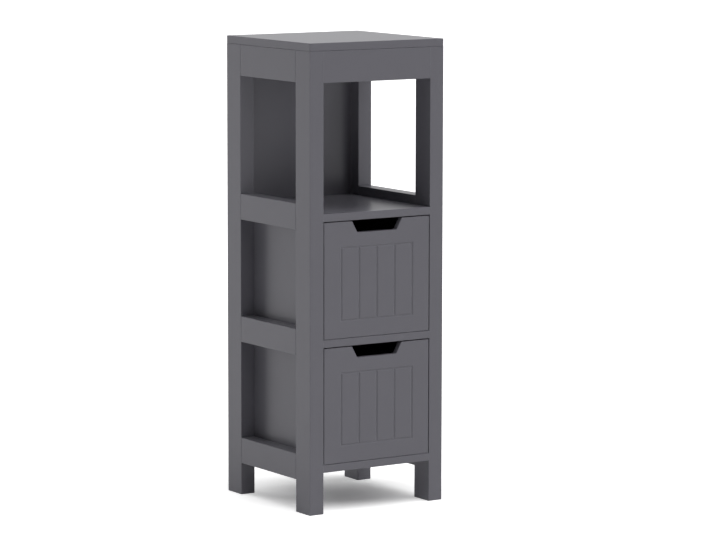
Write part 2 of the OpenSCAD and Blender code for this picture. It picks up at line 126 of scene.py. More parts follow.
def seenDirectly(tree):
    # 1 for camera, glossy and transmission rays, 0 for the rays that light the object
    path = addNode(tree, "ShaderNodeLightPath")
    glossy = addNode(tree, "ShaderNodeMath",
                     {0: path.outputs["Is Camera Ray"], 1: path.outputs["Is Glossy Ray"]},
                     operation="MAXIMUM")
    return addNode(tree, "ShaderNodeMath", {0: glossy.outputs[0], 1: path.outputs["Is Transmission Ray"]},
                   operation="MAXIMUM").outputs[0]


def makeFloor(values):
    bpy.ops.object.select_all(action="DESELECT")
    bpy.ops.mesh.primitive_circle_add(vertices=values["floorSides"], radius=values["floorRadius"],
                                      fill_type="NGON")
    floor = bpy.context.object
    floor.name = "studioFloor"
    material, tree = newMaterial("paper sweep")
    place = addNode(tree, "ShaderNodeTexCoord").outputs["Object"]
    # the glow rises from nothing at the centre to full at the reach; held back round the unit, it paints
    # shade on the floor on top of the shadow the suns cast
    away = addNode(tree, "ShaderNodeVectorMath", {0: place, 1: values["paintedShadowCentre"]}, operation="DISTANCE")
    white = addNode(tree, "ShaderNodeMapRange",
                    {"Value": away.outputs["Value"], "From Max": values["paintedShadowReach"],
                     "To Max": values["farGlow"]},
                    interpolation_type="SMOOTHSTEP")
    camera = addNode(tree, "ShaderNodeLightPath").outputs["Is Camera Ray"]
    share = addNode(tree, "ShaderNodeMapRange", {"Value": camera, "To Min": values["glossShare"]})
    shown = addNode(tree, "ShaderNodeMath", {0: seenDirectly(tree), 1: share.outputs[0]},
                    operation="MULTIPLY")
    glow = addNode(tree, "ShaderNodeMath", {0: shown.outputs[0], 1: white.outputs[0]}, operation="MULTIPLY")
    emission = addNode(tree, "ShaderNodeEmission", {"Strength": glow.outputs[0]})
    diffuse = addNode(tree, "ShaderNodeBsdfDiffuse", {"Color": linearColour(values["floorColour"])})
    lit = addNode(tree, "ShaderNodeAddShader", {0: diffuse.outputs[0], 1: emission.outputs[0]})
    below = addNode(tree, "ShaderNodeNewGeometry")
    clear = addNode(tree, "ShaderNodeBsdfTransparent")
    seen = addNode(tree, "ShaderNodeMixShader",
                   {0: below.outputs["Backfacing"], 1: lit.outputs[0], 2: clear.outputs[0]})
    addNode(tree, "ShaderNodeOutputMaterial", {"Surface": seen.outputs[0]})
    floor.data.materials.append(material)


def makeSky(values):
    world = bpy.data.worlds.new("softSky")
    bpy.context.scene.world = world
    world.use_nodes = True
    tree = world.node_tree
    tree.nodes.clear()
    strength = addNode(tree, "ShaderNodeMapRange",
                       {"Value": seenDirectly(tree), "To Min": values["skyStrength"], "To Max": 1.0})
    background = addNode(tree, "ShaderNodeBackground", {"Strength": strength.outputs[0]})
    addNode(tree, "ShaderNodeOutputWorld", {"Surface": background.outputs[0]})


def makeLights(values):
    for name, (turn, rise, width, brightness) in values["lights"].items():
        out = (Matrix.Rotation(math.radians(turn), 3, "Z") @ Matrix.Rotation(math.radians(-rise), 3, "Y")
               @ Vector((1, 0, 0)))
        bpy.ops.object.light_add(type="SUN", location=out * values["lightDistance"],
                                 rotation=out.to_track_quat("Z", "Y").to_euler())
        light = bpy.context.object
        light.name = name
        light.data.angle = math.radians(width)
        light.data.energy = brightness
        light.visible_glossy = False     # gloss sees only the white surroundings


makeFloor(studio)
makeSky(studio)
makeLights(studio)
bpy.context.scene.view_settings.view_transform = "Standard"
print("Studio lit")


# Satin lacquer sprayed on fibreboard: an even grey with a soft gloss, faint orange peel and paler arrises,
# partly thinner lacquer and partly a painted highlight
lacquerLook = {
    "colour": "#65646b",
    "patchColour": "#68676e",
    # paler arrises: partly thinner lacquer, partly a painted highlight
    "edgeWearAndHighlightColour": "#74737a",
    "patchSize": 70,        # mm, slow drift of the tone
    "peelSize": 2.2,        # mm, orange peel
    "peelDepth": 0.012,     # mm
    "mistSize": 0.5,        # mm, dry spray mist, drawn coarser than it is so that it shows
    "edgeRadius": 0.9,      # mm
    "edgeStart": 0.995,     # cosine of the turn at an arris where the paler edge starts
    "edgeFull": 0.8,        # and where it is full
    "roughness": 0.3,
    "mistRoughness": 0.05,  # more or less of it from the mist
    "ior": 1.4,
}


def makeLacquer(look):
    material, tree = newMaterial("satin lacquer on fibreboard")
    place = addNode(tree, "ShaderNodeTexCoord").outputs["Object"]
    patches = addNode(tree, "ShaderNodeTexNoise",
                      {"Vector": place, "Scale": 1 / (look["patchSize"] * mm), "Detail": 3.0})
    peel = addNode(tree, "ShaderNodeTexNoise",
                   {"Vector": place, "Scale": 1 / (look["peelSize"] * mm), "Detail": 1.0})
    mist = addNode(tree, "ShaderNodeTexNoise",
                   {"Vector": place, "Scale": 1 / (look["mistSize"] * mm), "Detail": 2.0})
    softEdge = addNode(tree, "ShaderNodeBevel", {"Radius": look["edgeRadius"] * mm}, samples=4)
    flat = addNode(tree, "ShaderNodeNewGeometry")
    facing = addNode(tree, "ShaderNodeVectorMath",
                     {0: softEdge.outputs[0], 1: flat.outputs["True Normal"]}, operation="DOT_PRODUCT")
    # mask of the paler arrises on every edge the bevel rounds, hollow ones too: thinner lacquer with a
    # painted highlight along them
    edge = addNode(tree, "ShaderNodeMapRange",
                   {"Value": facing.outputs["Value"], "From Min": look["edgeStart"],
                    "From Max": look["edgeFull"]})
    ground = addNode(tree, "ShaderNodeMix",
                     {"Factor": patches.outputs["Fac"], 6: linearColour(look["colour"]),
                      7: linearColour(look["patchColour"])}, data_type="RGBA")
    colour = addNode(tree, "ShaderNodeMix",
                     {"Factor": edge.outputs[0], 6: ground.outputs[2], 7: linearColour(look["edgeWearAndHighlightColour"])},
                     data_type="RGBA")
    rough = addNode(tree, "ShaderNodeMapRange",
                    {"Value": mist.outputs["Fac"], "To Min": look["roughness"] - look["mistRoughness"],
                     "To Max": look["roughness"] + look["mistRoughness"]})
    bump = addNode(tree, "ShaderNodeBump",
                   {"Height": peel.outputs["Fac"], "Distance": look["peelDepth"] * mm,
                    "Normal": softEdge.outputs[0]})
    paint = addNode(tree, "ShaderNodeBsdfPrincipled",
                    {"Base Color": colour.outputs[2], "Roughness": rough.outputs[0], "IOR": look["ior"],
                     "Normal": bump.outputs[0]})
    addNode(tree, "ShaderNodeOutputMaterial", {"Surface": paint.outputs[0]})
    return material


# Hardboard for the drawer bottoms: grey foil above, bare brown fibre with the press screen's print below
hardboardLook = {
    "foil": "#66656b",
    "pale": "#a98d68",
    "fibre": "#8d7250",
    "fibreSize": 3.5,       # mm
    "fibreSquash": 0.45,    # how much less the fibre changes along the board than across it
    "fibreContrast": 0.15,  # less is sharper
    "screenPitch": 1.6,     # mm
    "screenDepth": 0.12,    # mm
    "smooth": 0.42,
    "rough": 0.6,
}
waveSpan = 0.314    # a wave texture repeats every 0.314 at a scale of 1


def makeHardboard(look):
    material, tree = newMaterial("tempered hardboard")
    place = addNode(tree, "ShaderNodeTexCoord").outputs["Object"]
    stretched = addNode(tree, "ShaderNodeMapping",
                        {"Vector": place, "Scale": (1.0, look["fibreSquash"], 1.0)})
    fibre = addNode(tree, "ShaderNodeTexNoise",
                    {"Vector": stretched.outputs[0], "Scale": 1 / (look["fibreSize"] * mm), "Detail": 6.0,
                     "Roughness": 0.65})
    tone = addNode(tree, "ShaderNodeMapRange",
                   {"Value": fibre.outputs["Fac"], "From Min": 0.5 - look["fibreContrast"],
                    "From Max": 0.5 + look["fibreContrast"]})
    bare = addNode(tree, "ShaderNodeMix",
                   {"Factor": tone.outputs[0], 6: linearColour(look["pale"]),
                    7: linearColour(look["fibre"])}, data_type="RGBA")
    waves = [addNode(tree, "ShaderNodeTexWave",
                     {"Vector": place, "Scale": waveSpan / (look["screenPitch"] * mm)},
                     bands_direction=direction) for direction in ("X", "Y")]
    screen = addNode(tree, "ShaderNodeMath",
                     {0: waves[0].outputs["Fac"], 1: waves[1].outputs["Fac"]}, operation="MAXIMUM")
    facing = addNode(tree, "ShaderNodeSeparateXYZ",
                     {"Vector": addNode(tree, "ShaderNodeNewGeometry").outputs["True Normal"]})
    above = addNode(tree, "ShaderNodeMath", {0: facing.outputs["Z"], 1: 0.5}, operation="GREATER_THAN")
    under = addNode(tree, "ShaderNodeMath", {0: facing.outputs["Z"], 1: -0.5}, operation="LESS_THAN")
    printed = addNode(tree, "ShaderNodeMath", {0: screen.outputs[0], 1: under.outputs[0]},
                      operation="MULTIPLY")
    colour = addNode(tree, "ShaderNodeMix",
                     {"Factor": above.outputs[0], 6: bare.outputs[2], 7: linearColour(look["foil"])},
                     data_type="RGBA")
    bump = addNode(tree, "ShaderNodeBump",
                   {"Height": printed.outputs[0], "Distance": look["screenDepth"] * mm})
    rough = addNode(tree, "ShaderNodeMapRange",
                    {"Value": fibre.outputs["Fac"], "To Min": look["smooth"], "To Max": look["rough"]})
    board = addNode(tree, "ShaderNodeBsdfPrincipled",
                    {"Base Color": colour.outputs[2], "Roughness": rough.outputs[0],
                     "Normal": bump.outputs[0]})
    addNode(tree, "ShaderNodeOutputMaterial", {"Surface": board.outputs[0]})
    return material


# Beech for the dowels: its grain follows the dowel through the cylinder's own UV map
beechLook = {
    "light": "#dcbf95",
    "dark": "#c39c6b",
    "grainAcross": 26,      # streaks round the dowel
    "grainAlong": 5,
    "poreScale": 4.0,       # pores to a streak's width
    "poreDepth": 0.03,      # mm
    "smooth": 0.5,
    "rough": 0.7,
}


def makeBeech(look):
    material, tree = newMaterial("turned beech")
    place = addNode(tree, "ShaderNodeTexCoord").outputs["UV"]
    stretched = addNode(tree, "ShaderNodeMapping",
                        {"Vector": place, "Scale": (look["grainAcross"], look["grainAlong"], 1.0)})
    grain = addNode(tree, "ShaderNodeTexNoise",
                    {"Vector": stretched.outputs[0], "Scale": 1.0, "Detail": 5.0, "Roughness": 0.6})
    fleck = addNode(tree, "ShaderNodeTexVoronoi",
                    {"Vector": stretched.outputs[0], "Scale": look["poreScale"]})
    colour = addNode(tree, "ShaderNodeMix",
                     {"Factor": grain.outputs["Fac"], 6: linearColour(look["light"]),
                      7: linearColour(look["dark"])}, data_type="RGBA")
    bump = addNode(tree, "ShaderNodeBump",
                   {"Height": fleck.outputs["Distance"], "Distance": look["poreDepth"] * mm})
    rough = addNode(tree, "ShaderNodeMapRange",
                    {"Value": grain.outputs["Fac"], "To Min": look["smooth"], "To Max": look["rough"]})
    wood = addNode(tree, "ShaderNodeBsdfPrincipled",
                   {"Base Color": colour.outputs[2], "Roughness": rough.outputs[0],
                    "Normal": bump.outputs[0]})
    addNode(tree, "ShaderNodeOutputMaterial", {"Surface": wood.outputs[0]})
    return material


# Metals: bright zinc plate for screws and bolts, dull die-cast zinc for the cam nuts
zincPlateLook = {
    "metal": "#c3c6ca",
    "dull": "#aeb3b9",
    "patchSize": 2.0,       # mm, like the other sizes
    "grainSize": 0.25,
    "grainDepth": 0.004,
    "edgeRadius": 0.15,
    "smooth": 0.24,
    "rough": 0.4,
}
dieCastLook = {
    "metal": "#b2b5b8",
    "dull": "#989b9f",
    "patchSize": 4.0,
    "grainSize": 0.5,       # the grain of the mould
    "grainDepth": 0.03,
    "edgeRadius": 0.15,
    "smooth": 0.42,
    "rough": 0.6,
}


def makeMetal(name, look):
    material, tree = newMaterial(name)
    place = addNode(tree, "ShaderNodeTexCoord").outputs["Object"]
    patches = addNode(tree, "ShaderNodeTexNoise",
                      {"Vector": place, "Scale": 1 / (look["patchSize"] * mm), "Detail": 3.0})
    grain = addNode(tree, "ShaderNodeTexNoise",
                    {"Vector": place, "Scale": 1 / (look["grainSize"] * mm), "Detail": 2.0})
    softEdge = addNode(tree, "ShaderNodeBevel", {"Radius": look["edgeRadius"] * mm}, samples=4)
    colour = addNode(tree, "ShaderNodeMix",
                     {"Factor": patches.outputs["Fac"], 6: linearColour(look["metal"]),
                      7: linearColour(look["dull"])}, data_type="RGBA")
    rough = addNode(tree, "ShaderNodeMapRange",
                    {"Value": patches.outputs["Fac"], "To Min": look["smooth"], "To Max": look["rough"]})
    bump = addNode(tree, "ShaderNodeBump",
                   {"Height": grain.outputs["Fac"], "Distance": look["grainDepth"] * mm,
                    "Normal": softEdge.outputs[0]})
    metal = addNode(tree, "ShaderNodeBsdfPrincipled",
                    {"Base Color": colour.outputs[2], "Metallic": 1.0, "Roughness": rough.outputs[0],
                     "Normal": bump.outputs[0]})
    addNode(tree, "ShaderNodeOutputMaterial", {"Surface": metal.outputs[0]})
    return material


lacquer = makeLacquer(lacquerLook)
hardboard = makeHardboard(hardboardLook)
beech = makeBeech(beechLook)
zincPlate = makeMetal("bright zinc plate", zincPlateLook)
dieCastZinc = makeMetal("die-cast zinc", dieCastLook)
for nodeName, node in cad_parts.items():
    finish = lacquer
    if nodeName.endswith("_bottom"):
        finish = hardboard
    for slot in node.material_slots:
        slot.material = finish
print("Finishes made")


# Modelling helpers: everything is deselected first, then faces, edges or points are picked by their place
mergeReach = 0.002 * mm     # joins the corners of a CAD mesh's loose triangles
onPlace = 0.02 * mm         # how near a point has to be to count as lying on a line or a face
pastPlace = 0.1 * mm        # how far past a face the points on it are still looked for
endDepth = 1.2 * mm         # how much of a long solid counts as its end
mostly = 0.9                # part of a unit normal that lies along an axis, to face more or less that way
squarely = 0.999            # and to face exactly that way


def deselectAll():
    if bpy.context.mode != "OBJECT":
        bpy.ops.object.mode_set(mode="OBJECT")
    bpy.ops.object.select_all(action="DESELECT")


def take(piece):
    deselectAll()
    piece.select_set(True)
    bpy.context.view_layer.objects.active = piece


def startEdit(piece, kind):
    take(piece)
    bpy.ops.object.mode_set(mode="EDIT")
    bpy.ops.mesh.select_mode(type=kind)
    bpy.ops.mesh.select_all(action="DESELECT")
    bpy.ops.object.mode_set(mode="OBJECT")


def pickFaces(piece, test):
    startEdit(piece, "FACE")
    for face in piece.data.polygons:
        face.select = test(face.center, face.normal)
    bpy.ops.object.mode_set(mode="EDIT")


def pickEdges(piece, test):
    startEdit(piece, "EDGE")
    points = piece.data.vertices
    for edge in piece.data.edges:
        start, end = edge.vertices
        edge.select = test(points[start].co, points[end].co)
    bpy.ops.object.mode_set(mode="EDIT")


def pickPoints(piece, test):
    startEdit(piece, "VERT")
    for point in piece.data.vertices:
        point.select = test(point.co)
    bpy.ops.object.mode_set(mode="EDIT")


def addBlock(name, low, high):
    deselectAll()
    bpy.ops.mesh.primitive_cube_add(size=1, location=(low + high) / 2)
    block = bpy.context.object
    block.name = name
    block.scale = high - low
    bpy.ops.object.transform_apply()
    return block


def addRod(name, sides, radius, length, place=(0, 0, 0), turn=(0, 0, 0)):
    # a cylinder round its place, standing along Z before it is turned by degrees
    deselectAll()
    bpy.ops.mesh.primitive_cylinder_add(vertices=sides, radius=radius, depth=length, location=place,
                                        rotation=[math.radians(angle) for angle in turn])
    rod = bpy.context.object
    rod.name = name
    bpy.ops.object.transform_apply()
    return rod


def cutAway(piece, cutter, crossing=False):
    # crossing is for a cutter whose own parts run through each other
    take(piece)
    cut = piece.modifiers.new("cut", "BOOLEAN")
    cut.object = cutter
    cut.operation = "DIFFERENCE"
    cut.solver = "EXACT"
    cut.use_self = crossing
    bpy.ops.object.modifier_apply(modifier=cut.name)
    bpy.data.objects.remove(cutter)


def joinPieces(pieces, name):
    deselectAll()
    for piece in pieces:
        piece.select_set(True)
    bpy.context.view_layer.objects.active = pieces[0]
    bpy.ops.object.join()
    joined = bpy.context.object
    joined.name = name
    return joined


def turnFacesOut(piece):
    take(piece)
    bpy.ops.object.mode_set(mode="EDIT")
    bpy.ops.mesh.select_all(action="SELECT")
    bpy.ops.mesh.normals_make_consistent(inside=False)
    bpy.ops.object.mode_set(mode="OBJECT")


def finishPiece(piece, smoothAngle):
    # smooths the rounded edges and keeps the large faces between them flat
    turnFacesOut(piece)
    bpy.ops.object.transform_apply()
    bpy.ops.object.shade_smooth_by_angle(angle=math.radians(smoothAngle))
    flats = piece.modifiers.new("flats", "WEIGHTED_NORMAL")
    flats.keep_sharp = True
    bpy.ops.object.modifier_apply(modifier=flats.name)


def boxOf(points):
    low = Vector([min(point[i] for point in points) for i in range(3)])
    high = Vector([max(point[i] for point in points) for i in range(3)])
    return low, high


def solidsOf(node):
    # the points of each separate solid in a CAD node, taken from a merged copy
    take(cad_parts[node])
    bpy.ops.object.duplicate()
    bpy.ops.object.mode_set(mode="EDIT")
    bpy.ops.mesh.select_all(action="SELECT")
    bpy.ops.mesh.remove_doubles(threshold=mergeReach)
    bpy.ops.mesh.separate(type="LOOSE")
    bpy.ops.object.mode_set(mode="OBJECT")
    loose = list(bpy.context.selected_objects)
    solids = [[point.co.copy() for point in part.data.vertices] for part in loose]
    bpy.ops.object.delete()
    return sorted(solids, key=lambda points: tuple(round(value, 4) for value in boxOf(points)[0]))


def endsOf(points):
    # the middle of both ends of a long solid, the wider end first
    low, high = boxOf(points)
    size = high - low
    axis = max(range(3), key=lambda i: size[i])
    ends = []
    for level in (low[axis], high[axis]):
        end = (low + high) / 2
        end[axis] = level
        near = [point for point in points if abs(point[axis] - level) < endDepth]
        ends.append((max((point - end).length for point in near), end))
    ends.sort(key=lambda entry: -entry[0])
    return ends[0][1], ends[1][1]


# Drawer fronts: a board with a finger cut-out in its top edge and four planks routed in its face
frontValues = {
    "edgeRound": 1.1,       # mm, like every size here; eased edges of the board and the cut-out
    "edgeSteps": 3,
    "sharpAngle": 25,       # degrees, edges that turn by more are eased
    "smoothAngle": 30,      # degrees, edges that turn by more stay sharp in the finished board
    "cutoutTop": 112,       # width at the mouth
    "cutoutFloor": 88,
    "cutoutDepth": 22,
    "cutoutRound": 2,
    "cutoutSteps": 4,
    "planks": 4,
    "plankWidth": 40,
    "planksTop": 49.5,      # below the top edge
    "planksBottom": 34,     # above the bottom edge
    "grooveWidth": 5,
    "grooveDepth": 1.5,
    "grooveSoft": 0.35,     # how far the lacquer rounds the groove edges
    "grooveSteps": 2,
    "holeSides": 24,
    "holeGap": 0.05,        # round a fitting
    "holeEnd": 0.5,         # beyond its end
    "holeMouth": 1.5,       # how far the cutter stands out of the board's back
    "slotRoom": (0.3, 0.3, 0.1),    # round the drawer bottom
}


def cutFingerNotch(front, low, high, values):
    middle = (low + high) / 2
    floor, mouth = values["cutoutFloor"] * mm, values["cutoutTop"] * mm
    depth = values["cutoutDepth"] * mm
    reach = high.y - low.y
    cutter = addBlock("notchCutter", Vector((middle.x - floor / 2, low.y - reach, high.z - depth)),
                      Vector((middle.x + floor / 2, high.y + reach, high.z)))
    pickFaces(cutter, lambda centre, normal: normal.z > mostly)
    bpy.ops.transform.resize(value=(mouth / floor, 1, 1), center_override=(middle.x, middle.y, high.z))
    bpy.ops.mesh.extrude_region_move(TRANSFORM_OT_translate={"value": (0, 0, reach)})
    pickEdges(cutter, lambda a, b: max(a.z, b.z) < high.z - depth / 2 and abs(a.y - b.y) > reach)
    bpy.ops.mesh.bevel(offset=values["cutoutRound"] * mm, segments=values["cutoutSteps"], affect="EDGES")
    cutAway(front, cutter)


def easeSharpEdges(front, values):
    startEdit(front, "EDGE")
    bpy.ops.object.mode_set(mode="EDIT")
    bpy.ops.mesh.edges_select_sharp(sharpness=math.radians(values["sharpAngle"]))
    bpy.ops.mesh.bevel(offset=values["edgeRound"] * mm, segments=values["edgeSteps"], affect="EDGES")


def routePlanks(front, low, high, values):
    middle = (low + high) / 2
    top = high.z - values["planksTop"] * mm
    bottom = low.z + values["planksBottom"] * mm
    width = values["plankWidth"] * mm
    lines = [middle.x + (i - values["planks"] / 2) * width for i in range(values["planks"] + 1)]
    half = values["grooveWidth"] / 2 * mm

    def onFront(centre, normal):
        return normal.y < -squarely and centre.y < low.y + onPlace

    def onPlanks(centre, normal):
        return onFront(centre, normal) and lines[0] < centre.x < lines[-1] and bottom < centre.z < top

    def inGrooves(point):
        around = half + onPlace
        return (point.y < low.y + values["grooveDepth"] * mm + pastPlace
                and lines[0] - around < point.x < lines[-1] + around
                and bottom - around < point.z < top + around)

    # the face is divided into planks, then a strip half a groove wide is set off inside and outside each
    for height in (top, bottom):
        pickFaces(front, onFront)
        bpy.ops.mesh.bisect(plane_co=(0, 0, height), plane_no=(0, 0, 1))
    for line in lines:
        pickFaces(front, lambda centre, normal: onFront(centre, normal) and bottom < centre.z < top)
        bpy.ops.mesh.bisect(plane_co=(line, 0, 0), plane_no=(1, 0, 0))
    pickFaces(front, onPlanks)
    bpy.ops.mesh.inset(thickness=half, use_individual=True)
    pickFaces(front, onPlanks)
    bpy.ops.mesh.inset(thickness=half, use_outset=True)
    # the points between the strips sink to the bottom of the grooves
    pickPoints(front, lambda point: point.y < low.y + onPlace
               and any(abs(point.x - line) < onPlace for line in lines)
               and min(abs(point.z - top), abs(point.z - bottom)) < onPlace)
    bpy.ops.transform.translate(value=(0, values["grooveDepth"] * mm, 0))
    pickEdges(front, lambda a, b: inGrooves(a) and inGrooves(b))
    bpy.ops.mesh.bevel(offset=values["grooveSoft"] * mm, segments=values["grooveSteps"], affect="EDGES")


def boreFittingHoles(front, drawer, high, values):
    # holes for the drawer's dowels and cam bolts, and the slot that holds its bottom
    back = high.y
    mouth = back + values["holeMouth"] * mm
    cutters = []
    for kind in ("dowels", "cam_bolts"):
        for points in solidsOf(f"{drawer}_{kind}"):
            holeLow, holeHigh = boxOf([point for point in points if point.y < back + pastPlace])
            middle = (holeLow + holeHigh) / 2
            end = holeLow.y - values["holeEnd"] * mm
            radius = (holeHigh.z - holeLow.z) / 2 + values["holeGap"] * mm
            cutters.append(addRod("holeCutter", values["holeSides"], radius, mouth - end,
                                  (middle.x, (mouth + end) / 2, middle.z), (90, 0, 0)))
    boardLow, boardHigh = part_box(f"{drawer}_bottom")
    room = Vector(values["slotRoom"]) * mm
    cutters.append(addBlock("slotCutter", boardLow - room, boardHigh + room))
    cutAway(front, joinPieces(cutters, "fittingCutters"))


def modelDrawerFront(drawer, values):
    node = f"{drawer}_front"
    low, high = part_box(node)
    front = addBlock(f"{drawer}_front_board", low, high)
    cutFingerNotch(front, low, high, values)
    easeSharpEdges(front, values)
    routePlanks(front, low, high, values)
    boreFittingHoles(front, drawer, high, values)
    finishPiece(front, values["smoothAngle"])
    front.data.materials.append(lacquer)
    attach(front, drawer)
    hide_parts(node)


for drawer in ("drawer_upper", "drawer_lower"):
    modelDrawerFront(drawer, frontValues)
print("Drawer fronts routed")


# Fittings: each kind is modelled once, standing along +Z, and copied to every place its CAD node holds
fittingSmoothAngle = 35     # degrees
threadSteps = 12            # to a turn
ridgeRadius = 0.45          # share of the pitch, of the circle that a ridge's corners lie on
triangleHeight = 1.5        # of a three-sided circle of radius 1


def turnedPiece(name, rings, sides):
    # rings are (height, radius) in mm, from the lower end to the upper one
    deselectAll()
    height, radius = rings[0]
    bpy.ops.mesh.primitive_circle_add(vertices=sides, radius=radius * mm, fill_type="NGON",
                                      location=(0, 0, height * mm))
    piece = bpy.context.object
    piece.name = name
    bpy.ops.object.transform_apply()
    bpy.ops.object.mode_set(mode="EDIT")
    bpy.ops.mesh.select_all(action="SELECT")
    for nextHeight, nextRadius in rings[1:]:
        bpy.ops.mesh.extrude_region_move(
            TRANSFORM_OT_translate={"value": (0, 0, (nextHeight - height) * mm)})
        scale = nextRadius / radius
        bpy.ops.transform.resize(value=(scale, scale, 1), center_override=(0, 0, nextHeight * mm))
        height, radius = nextHeight, nextRadius
    bpy.ops.object.mode_set(mode="OBJECT")
    return piece


def helixThread(low, high, root, crest, pitch):
    # a ridge of triangular section wound round +Z, all sizes in mm
    deselectAll()
    bpy.ops.mesh.primitive_circle_add(vertices=3, radius=1, rotation=(math.radians(90), math.radians(90), 0))
    thread = bpy.context.object
    bpy.ops.object.transform_apply()
    bpy.ops.object.mode_set(mode="EDIT")
    bpy.ops.mesh.select_all(action="SELECT")
    bpy.ops.transform.resize(value=((crest - root) / triangleHeight * mm, 1, pitch * ridgeRadius * mm),
                             center_override=(0, 0, 0))
    bpy.ops.object.mode_set(mode="OBJECT")
    outer = boxOf([point.co for point in thread.data.vertices])[1]
    bpy.ops.object.mode_set(mode="EDIT")
    bpy.ops.transform.translate(value=(crest * mm - outer.x, 0, low * mm))
    bpy.ops.object.mode_set(mode="OBJECT")
    helix = thread.modifiers.new("helix", "SCREW")
    helix.screw_offset = pitch * mm
    helix.iterations = round((high - low) / pitch)
    helix.steps = helix.render_steps = threadSteps
    helix.use_merge_vertices = False
    bpy.ops.object.modifier_apply(modifier=helix.name)
    bpy.ops.object.mode_set(mode="EDIT")
    bpy.ops.mesh.select_all(action="SELECT")
    bpy.ops.mesh.fill_holes(sides=3)
    bpy.ops.object.mode_set(mode="OBJECT")
    return thread


def taperThread(thread, start, end, share, steps=5):
    # draws the thread in step by step, from its full size at start to a share of it at end
    way = 1 if end > start else -1
    for step in range(steps):
        level = start + (end - start) * step / steps
        narrow = (1 - (1 - share) * (step + 1) / steps) / (1 - (1 - share) * step / steps)
        pickPoints(thread, lambda point: (point.z - level * mm) * way > 0)
        bpy.ops.transform.resize(value=(narrow, narrow, 1), center_override=(0, 0, 0))
    bpy.ops.object.mode_set(mode="OBJECT")


crossValues = {
    "arms": ((0, 1), (90, 1), (45, 0.55), (135, 0.55)),     # degrees, share of the full length
    "taper": (0.45, 0.7, 1),    # share of the length and the width left at the bottom
}


def cutCross(piece, top, width, length, depth, down):
    # a tapered cross recess in an end face; down is -1 or +1, the way it goes in along Z
    arms = []
    for turned, share in crossValues["arms"]:
        arm = addBlock("crossArm", Vector((-length * share / 2, -width / 2, -depth)) * mm,
                       Vector((length * share / 2, width / 2, depth)) * mm)
        pickFaces(arm, lambda centre, normal: normal.z * down > mostly)
        bpy.ops.transform.resize(value=crossValues["taper"], center_override=(0, 0, 0))
        bpy.ops.object.mode_set(mode="OBJECT")
        arm.rotation_euler.z = math.radians(turned)
        arm.location.z = top * mm
        arms.append(arm)
    cutter = joinPieces(arms, "crossCutter")
    bpy.ops.object.transform_apply()
    cutAway(piece, cutter, crossing=True)


def standAlong(origin, zAxis, xAxis=None):
    # the place of a fitting that stands along zAxis, turned so that its +X looks towards xAxis
    zAxis = zAxis.normalized()
    helper = xAxis or Vector((0, 0, 1) if abs(zAxis.z) < mostly else (1, 0, 0))
    yAxis = zAxis.cross(helper).normalized()
    turned = Matrix((yAxis.cross(zAxis), yAxis, zAxis)).transposed().to_4x4()
    return Matrix.Translation(origin) @ turned


def placeCopies(master, places, node, body, material):
    copies = []
    for place in places:
        copy = bpy.data.objects.new(f"{node}_modelled", master.data.copy())
        bpy.context.scene.collection.objects.link(copy)
        copy.matrix_world = place
        copies.append(copy)
    piece = joinPieces(copies, f"{node}_modelled")
    bpy.ops.object.transform_apply()
    finishPiece(piece, fittingSmoothAngle)
    piece.data.materials.clear()
    piece.data.materials.append(material)
    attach(piece, body)
    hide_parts(node)


def bodyOf(node):
    # drawer_upper or drawer_lower for what its name starts with, carcass for the rest
    return "_".join(node.split("_")[:2]) if node.startswith("drawer") else "carcass"


dowelValues = {
    "sides": 36,
    "fluteEvery": 3,        # every third corner is pulled in as a flute
    "fluteDepth": 0.07,     # share of the radius
    "chamfer": 1.0,         # mm
    "chamferSteps": 2,
}


def makeDowel(diameter, length, values):
    dowel = addRod("dowel", values["sides"], diameter / 2, length)
    pickEdges(dowel, lambda a, b: abs(a.z - b.z) < onPlace)
    bpy.ops.mesh.bevel(offset=values["chamfer"] * mm, segments=values["chamferSteps"], affect="EDGES")
    step = math.tau / values["sides"]
    pickPoints(dowel, lambda point: round(math.atan2(point.y, point.x) / step) % values["fluteEvery"] == 0)
    narrow = 1 - values["fluteDepth"]
    bpy.ops.transform.resize(value=(narrow, narrow, 1), center_override=(0, 0, 0))
    bpy.ops.object.mode_set(mode="OBJECT")
    return dowel


for node in ("frame_dowels", "back_panel_dowels", "drawer_upper_dowels", "drawer_lower_dowels"):
    solids = solidsOf(node)
    low, high = boxOf(solids[0])
    dowel = makeDowel(min(high - low), max(high - low), dowelValues)
    places = []
    for points in solids:
        first, second = endsOf(points)
        places.append(standAlong((first + second) / 2, second - first))
    placeCopies(dowel, places, node, bodyOf(node), beech)
    bpy.data.objects.remove(dowel)
print("Dowels placed")


screwValues = {
    "sides": 20,
    "headRadius": 3.45,     # mm, like all sizes of this countersunk chipboard screw
    "headHeight": 2.1,
    "headRim": 0.25,
    "filletHeight": 0.4,    # above and below the foot of the head
    "filletWidth": 0.6,
    "coreRadius": 1.2,
    "crestRadius": 1.74,
    "threadSink": 0.15,     # how far the ridge runs inside the core
    "plainNeck": 1.4,       # between head and thread
    "pitch": 1.7,
    "point": 3.5,
    "tipRadius": 0.12,
    "bareTip": 1 / 3,       # share of the point without thread
    "neckShare": 0.72,      # of the thread's full size, left at the neck
    "tipShare": 0.2,        # and at the tip
    "crossWidth": 0.9,
    "crossLength": 4.6,
    "crossDepth": 1.8,
}


